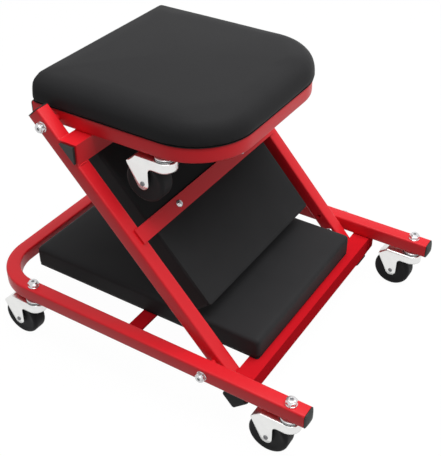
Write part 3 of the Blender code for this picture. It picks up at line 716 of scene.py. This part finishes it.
fork, axle, wheel = forkMesh(), axleMesh(), wheelMesh()
race, kingPin = turned(profile("race"), 40, sharp=60), turned(profile("kingPin"), 32)
grooveShade, crownGapShade = (turned(profile(ring), 40, looped=True) for ring in ("grooveShade", "crownGapShade"))
for end in casterEnds:
    carrier = "seat" if end == "seat" else "base"
    for name, side in sides.items():
        caster = f"{end}_{name}"
        spot = Matrix.Translation(joints[f"swivel_{caster}"]["pos_m"])
        hub = Matrix.Translation(joints[f"spin_{caster}"]["pos_m"]) @ turnTo((0, 1, 0))
        forkBody, stem = f"fork_{caster}", f"caster_stem_{caster}"
        plate = put(f"fork_plate_{caster}", fork, "white_zinc", forkBody, spot, [f"caster_fork_{caster}"])
        thick = plate.modifiers.new("plate", "SOLIDIFY")
        thick.thickness = forkSizes["plate"]
        thick.offset = -1
        put(f"axle_rivet_{caster}", axle, "oiled_steel", forkBody, hub, [f"caster_axle_{caster}"])
        put(f"rubber_wheel_{caster}", wheel, "black_rubber", f"wheel_{caster}", hub,
            [f"caster_wheel_{caster}"])
        put(f"swivel_race_{caster}", race, "bright_steel", carrier, spot, [stem])
        # dark ring in the race's groove, which is painted shade
        put(f"race_groove_shade_{caster}", grooveShade, "black_plastic", carrier, spot)
        # dark ring in the gap above the fork's crown, which is painted shade
        put(f"race_gap_shade_{caster}", crownGapShade, "black_plastic", carrier, spot)
        under = Matrix.Translation((0, 0, forkHigh.z - forkSizes["plate"] - casterFit["pinAir"]))
        put(f"king_pin_{caster}", kingPin, "bright_steel", carrier, spot @ under, [stem])
        if carrier == "base":
            turn = Matrix.Rotation(casterFit["nutTurn"] * side, 4, "Z")
            top = spot @ Matrix.Translation((0, 0, tube + casterFit["nutAir"])) @ turn
            put(f"stem_nut_{caster}", stemNut, "bright_steel", "base", top, [stem])
            put(f"stem_thread_{caster}", stemThread, "oiled_steel", "base", top)
print("casters made")

# weld beads where plates and tubes meet
weld = {"radius": 1.2 * mm, "pitch": 2.0 * mm, "ripple": 0.14, "round": 12, "pitchSteps": 4,
        "railAir": 0.4 * mm, "railFrom": 8.5 * mm, "railTo": 0.5 * mm, "linkReach": 8.0 * mm,
        "restSunk": 0.6 * mm, "seatAir": 0.2 * mm, "seatReach": 7.5 * mm}


def weldBead(name, body, start, end):
    start, end = Vector(start), Vector(end)
    along = end - start
    count = max(6, round(along.length / weld["pitch"] * weld["pitchSteps"]))
    side = along.orthogonal().normalized()
    other = along.normalized().cross(side)
    rings = []
    for step in range(count + 1):
        share = step / count
        wave = 1 + weld["ripple"] * math.cos(2 * math.pi * share * along.length / weld["pitch"])
        taper = math.sqrt(max(0.02, 1 - abs(2 * share - 1) ** 6))
        radius = weld["radius"] * wave * taper
        centre = start + along * share
        rings.append([centre + (side * math.cos(turn) + other * math.sin(turn)) * radius
                      for turn in (2 * math.pi * index / weld["round"] for index in range(weld["round"]))])
    put(name, loft(rings, sharp=80), "red_paint", body)


restLow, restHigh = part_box("seat_rest_angle")
underRail = baseLow.z - weld["railAir"]
for name, side in sides.items():
    acrossRail = [side * (railY - weld[key]) for key in ("railFrom", "railTo")]
    for part, x in (("bar_left", crossLow.x), ("bar_right", crossHigh.x), ("angle_left", stopLow.x)):
        ends = [(x, y, underRail) for y in acrossRail]
        weldBead(f"weld_{part}_{name}", "base", *ends)
    acrossLink = [side * (middleY + reach) for reach in (-weld["linkReach"], weld["linkReach"])]
    for part, x, z in (("rest_level", restLow.x, restHigh.z), ("rest_upright", restHigh.x, restLow.z)):
        weldBead(f"weld_{part}_{name}", "middle", *[(x, y, z - weld["restSunk"]) for y in acrossLink])
    joinY = side * (seatY - halfTube - weld["seatAir"])
    for part, x in (("rear_out", rearLow.x), ("rear_in", rearHigh.x)):
        ends = [(x, joinY, seatMiddle + level) for level in (-weld["seatReach"], weld["seatReach"])]
        weldBead(f"weld_{part}_{name}", "seat", *ends)
print("welds made")

# cushions: vinyl over foam, swollen by a short cloth run, with a cloth panel on the board side
flatPad = {"rear": 5 * mm, "front": 5 * mm, "edge": 5 * mm, "crown": 1.2 * mm, "rearShare": 1.0, "fill": 0.8,
           "most": 0.8 * mm}
pads = {
    "base": {"body": "base", "place": Matrix.Identity(4), **flatPad},
    "middle": {"body": "middle", "place": middleFrame, **flatPad},
    "seat": {"body": "seat", "place": Matrix.Identity(4), "rear": 9 * mm, "front": 77 * mm, "edge": 24 * mm,
             "crown": 3.0 * mm, "rearShare": 0.15, "fill": 0.9, "most": 1.5 * mm},
}
padMaking = {"shrink": 0.8 * mm, "lift": 0.7 * mm, "hem": 1.2 * mm, "edgeTall": 0.75, "leastRadius": 1 * mm,
             "cornerSteps": 12, "edgeSteps": 8, "crownSteps": 8, "voxel": 4 * mm, "heldBand": 2 * mm,
             "pressure": 4.0, "quality": 5, "frames": 20, "evening": 12}
# rows hold millimetres in from the panel's edge, and height
panelSizes = {"inset": 1 * mm, "leastRadius": 2 * mm,
              "rows": [(0, 0.9), (0, 0.45), (0.4, 0.2), (5, 0.2), (5.5, 0.4)]}


def outline(halfX, halfY, rear, front):
    points = []
    for signX, signY, quarter in ((1, -1, -1), (1, 1, 0), (-1, 1, 1), (-1, -1, 2)):
        radius = max(front if signX > 0 else rear, padMaking["leastRadius"])
        centre = (signX * (halfX - radius), signY * (halfY - radius))
        start = quarter * math.pi / 2
        points += arc(centre, radius, start, start + math.pi / 2, padMaking["cornerSteps"])
    return points


def cushionMesh(size, low, high):
    # bottom at z = 0; a hem round the board, upright sides, a rounded edge and a crown
    halfX = (high.x - low.x) / 2 - padMaking["shrink"]
    halfY = (high.y - low.y) / 2 - padMaking["shrink"]
    thick = high.z - low.z - padMaking["shrink"]
    hem, edge = padMaking["hem"], size["edge"]
    edgeTop = thick - size["crown"]
    rows = [(hem * (1 - math.sin(turn)), padMaking["lift"] + hem * (1 - math.cos(turn)))
            for turn in (0, math.pi / 4, math.pi / 2)]
    tall = min(edge, edgeTop * padMaking["edgeTall"])
    for step in range(padMaking["edgeSteps"] + 1):
        turn = math.pi / 2 * step / padMaking["edgeSteps"]
        rows.append((edge * (1 - math.cos(turn)), edgeTop - tall * (1 - math.sin(turn))))
    rings = []
    for inset, height in rows:
        # the rear edge is tighter than the others, so a ring's middle moves back as it closes in
        rearInset = inset * size["rearShare"]
        ring = outline(halfX - (inset + rearInset) / 2, halfY - inset, size["rear"] - inset,
                       size["front"] - inset)
        rings.append([Vector((x + (rearInset - inset) / 2, y, height)) for x, y in ring])
    rim = rings[-1]
    middle = (rearInset - inset) / 2
    reachX, reachY = max(point.x for point in rim) - middle, max(point.y for point in rim)
    for step in range(1, padMaking["crownSteps"]):
        scale = 1 - step / padMaking["crownSteps"]
        ring = []
        for point in rim:
            offset = (point.x - middle) * scale
            rise = (1 - (offset / reachX) ** 2) * (1 - (scale * point.y / reachY) ** 2)
            ring.append(Vector((middle + offset, point.y * scale, point.z + size["crown"] * rise)))
        rings.append(ring)
    return loft(rings)


def evened(mesh, moves):
    # each point's move drawn towards those of its neighbours, so that no wrinkle is left
    links = [[] for point in moves]
    for first, second in (edge.vertices for edge in mesh.edges):
        links[first].append(second)
        links[second].append(first)
    for turn in range(padMaking["evening"]):
        moves = [(move + sum((moves[other] for other in near), Vector())) / (1 + len(near))
                 for move, near in zip(moves, links)]
    return moves


def swell(piece, size):
    # cloth run with air pressure, the board side held, and no point moved further than the pad's most
    graph = bpy.context.evaluated_depsgraph_get()
    surface = BVHTree.FromObject(piece, graph)
    remesh = piece.modifiers.new("even", "REMESH")
    remesh.mode = "VOXEL"
    remesh.voxel_size = padMaking["voxel"]
    graph = bpy.context.evaluated_depsgraph_get()
    mesh = bpy.data.meshes.new_from_object(piece.evaluated_get(graph))
    piece.modifiers.clear()
    piece.data = mesh
    for vertex in mesh.vertices:
        vertex.co = surface.find_nearest(vertex.co)[0]
    start = [vertex.co.copy() for vertex in mesh.vertices]
    held = piece.vertex_groups.new(name="held")
    heldTop = padMaking["lift"] + padMaking["heldBand"]
    held.add([index for index, spot in enumerate(start) if spot.z < heldTop], 1.0, "REPLACE")
    cloth = piece.modifiers.new("cloth", "CLOTH")
    cloth.settings.use_pressure = True
    cloth.settings.uniform_pressure_force = padMaking["pressure"]
    cloth.settings.effector_weights.gravity = 0
    cloth.settings.vertex_group_mass = "held"
    cloth.settings.quality = padMaking["quality"]
    cloth.point_cache.frame_start = 1
    cloth.point_cache.frame_end = padMaking["frames"]
    for number in range(1, padMaking["frames"] + 1):
        scene.frame_set(number)
    graph = bpy.context.evaluated_depsgraph_get()
    swollen = [vertex.co.copy() for vertex in piece.evaluated_get(graph).data.vertices]
    piece.modifiers.clear()
    moves = evened(mesh, [last - first for first, last in zip(start, swollen)])
    for vertex, first, move in zip(mesh.vertices, start, moves):
        vertex.co = first + move * min(1, size["most"] / max(move.length, 1e-9))
    scene.frame_set(1)
    mesh.shade_smooth()
    finer = piece.modifiers.new("finer", "SUBSURF")
    finer.levels = finer.render_levels = 1


def fill(piece, low, high):
    # stretches the cushion to the room that its solid has
    graph = bpy.context.evaluated_depsgraph_get()
    shown = piece.evaluated_get(graph).data.vertices
    first = Vector([min(vertex.co[axis] for vertex in shown) for axis in range(3)])
    last = Vector([max(vertex.co[axis] for vertex in shown) for axis in range(3)])
    room = high - low
    floorZ = padMaking["lift"]
    for vertex in piece.data.vertices:
        spot = vertex.co
        share = [(spot[axis] - first[axis]) / (last[axis] - first[axis]) for axis in range(3)]
        vertex.co = ((share[0] - 0.5) * room.x, (share[1] - 0.5) * room.y,
                     floorZ + share[2] * (room.z - floorZ))


def panelMesh(size, low, high):
    # thin cloth panel on the board side, with its rim turned up
    inset = panelSizes["inset"]
    halfX, halfY = (high.x - low.x) / 2 - inset, (high.y - low.y) / 2 - inset
    rings = []
    for inward, height in panelSizes["rows"]:
        cut = inward * mm
        rear, front = (max(size[key] - inset - cut, panelSizes["leastRadius"]) for key in ("rear", "front"))
        rings.append([(x, y, height * mm) for x, y in outline(halfX - cut, halfY - cut, rear, front)])
    return loft(rings)


for name, size in pads.items():
    solidName = f"{name}_pad"
    boardName = "seat_board" if name == "seat" else f"{name}_pad_board"
    low, high = localBox(solidName, size["place"])
    centre = Matrix.Translation(((low.x + high.x) / 2, (low.y + high.y) / 2, low.z))
    cushion = bpy.data.objects.new(f"{name}_cushion", cushionMesh(size, low, high))
    scene.collection.objects.link(cushion)
    swell(cushion, size)
    fill(cushion, low, high)
    cushion.data.materials.clear()
    # the flat pads take the paler vinyl, which is painted light
    cushion.data.materials.append(finishes["black_vinyl" if name == "seat" else "painted_light_vinyl"])
    cushion.matrix_world = size["place"] @ centre
    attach(cushion, size["body"])
    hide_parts(solidName, boardName)
    put(f"{name}_back_panel", panelMesh(size, low, high), "back_cloth", size["body"], size["place"] @ centre)
    print("cushion made:", name, len(cushion.data.vertices), "points")

# floor, world, lights and camera
stageLook = {"floorReach": 12, "floorShade": 0.22, "floorGlow": 0.98, "floorLit": 0.03, "sky": 0.42,
             "horizon": 0.21}
floorShape = bmesh.new()
bmesh.ops.create_grid(floorShape, x_segments=1, y_segments=1, size=stageLook["floorReach"])
floor = bpy.data.objects.new("studio_floor", meshOf(floorShape))
scene.collection.objects.link(floor)
floorPaint = bpy.data.materials.new("paleFloor")
floorPaint.use_nodes = True
floorTree = floorPaint.node_tree
floorTree.nodes.clear()
ray = Wire(floorTree, floorTree.nodes.new("ShaderNodeLightPath").outputs["Is Diffuse Ray"])
glow = ray.node("ShaderNodeEmission", None, {"Color": (1, 1, 1, 1), "Strength": stageLook["floorGlow"]})
lit = ray.node("ShaderNodeBsdfDiffuse", None, {"Color": (*[stageLook["floorLit"]] * 3, 1)})
dull = ray.node("ShaderNodeBsdfDiffuse", None, {"Color": (*[stageLook["floorShade"]] * 3, 1)})
bright = ray.node("ShaderNodeAddShader", None, {0: glow, 1: lit})
shown = ray.node("ShaderNodeMixShader", None, {0: ray, 1: bright, 2: dull})
output = floorTree.nodes.new("ShaderNodeOutputMaterial")
floorTree.links.new(shown.socket, output.inputs["Surface"])
floorPaint.cycles.emission_sampling = "NONE"
floor.data.materials.append(floorPaint)

world = bpy.data.worlds.new("studio")
world.use_nodes = True
scene.world = world
skyTree = world.node_tree
skyTree.nodes.clear()
path = skyTree.nodes.new("ShaderNodeLightPath")
rays = [Wire(skyTree, path.outputs[f"Is {kind} Ray"]) for kind in ("Camera", "Glossy")]
seen = rays[0].maths("MAXIMUM", *rays)
height = Wire(skyTree, skyTree.nodes.new("ShaderNodeTexCoord").outputs["Generated"])
height = height.node("ShaderNodeSeparateXYZ", None, {0: height}, 2)
dome = stageLook["horizon"] + height.ramped(0.0, 1.0) * (stageLook["sky"] - stageLook["horizon"])
white = seen.node("ShaderNodeBackground", None, {"Color": (1, 1, 1, 1), "Strength": 1.0})
soft = seen.node("ShaderNodeBackground", None, {"Color": (1, 1, 1, 1), "Strength": dome})
sky = seen.node("ShaderNodeMixShader", None, {0: seen, 1: soft, 2: white})
skyOut = skyTree.nodes.new("ShaderNodeOutputWorld")
skyTree.links.new(sky.socket, skyOut.inputs["Surface"])

lamps = {"overhead": {"at": (0.35, 0.10, 1.75), "aim": (0.0, 0.0, 0.15), "size": 1.5, "power": 27.0},
         "rightFill": {"at": (1.7, 0.2, 0.8), "aim": (0.0, 0.0, 0.2), "size": 1.2, "power": 2.4}}
for name, lamp in lamps.items():
    light = bpy.data.lights.new(name, "AREA")
    light.size = lamp["size"]
    light.energy = lamp["power"]
    holder = bpy.data.objects.new(name, light)
    scene.collection.objects.link(holder)
    holder.location = lamp["at"]
    holder.rotation_euler = (Vector(lamp["aim"]) - Vector(lamp["at"])).to_track_quat("-Z", "Y").to_euler()

cameraPlace = {"at": (0.5068, -0.7889, 0.8188), "tilt": 53.78, "turn": 32.19, "lens": 67.18}
cameraData = bpy.data.cameras.new("view")
cameraData.lens = cameraPlace["lens"]
camera = bpy.data.objects.new("view", cameraData)
scene.collection.objects.link(camera)
camera.location = cameraPlace["at"]
camera.rotation_euler = (math.radians(cameraPlace["tilt"]), 0, math.radians(cameraPlace["turn"]))
scene.camera = camera
scene.view_settings.view_transform = "Standard"
print("stage set")
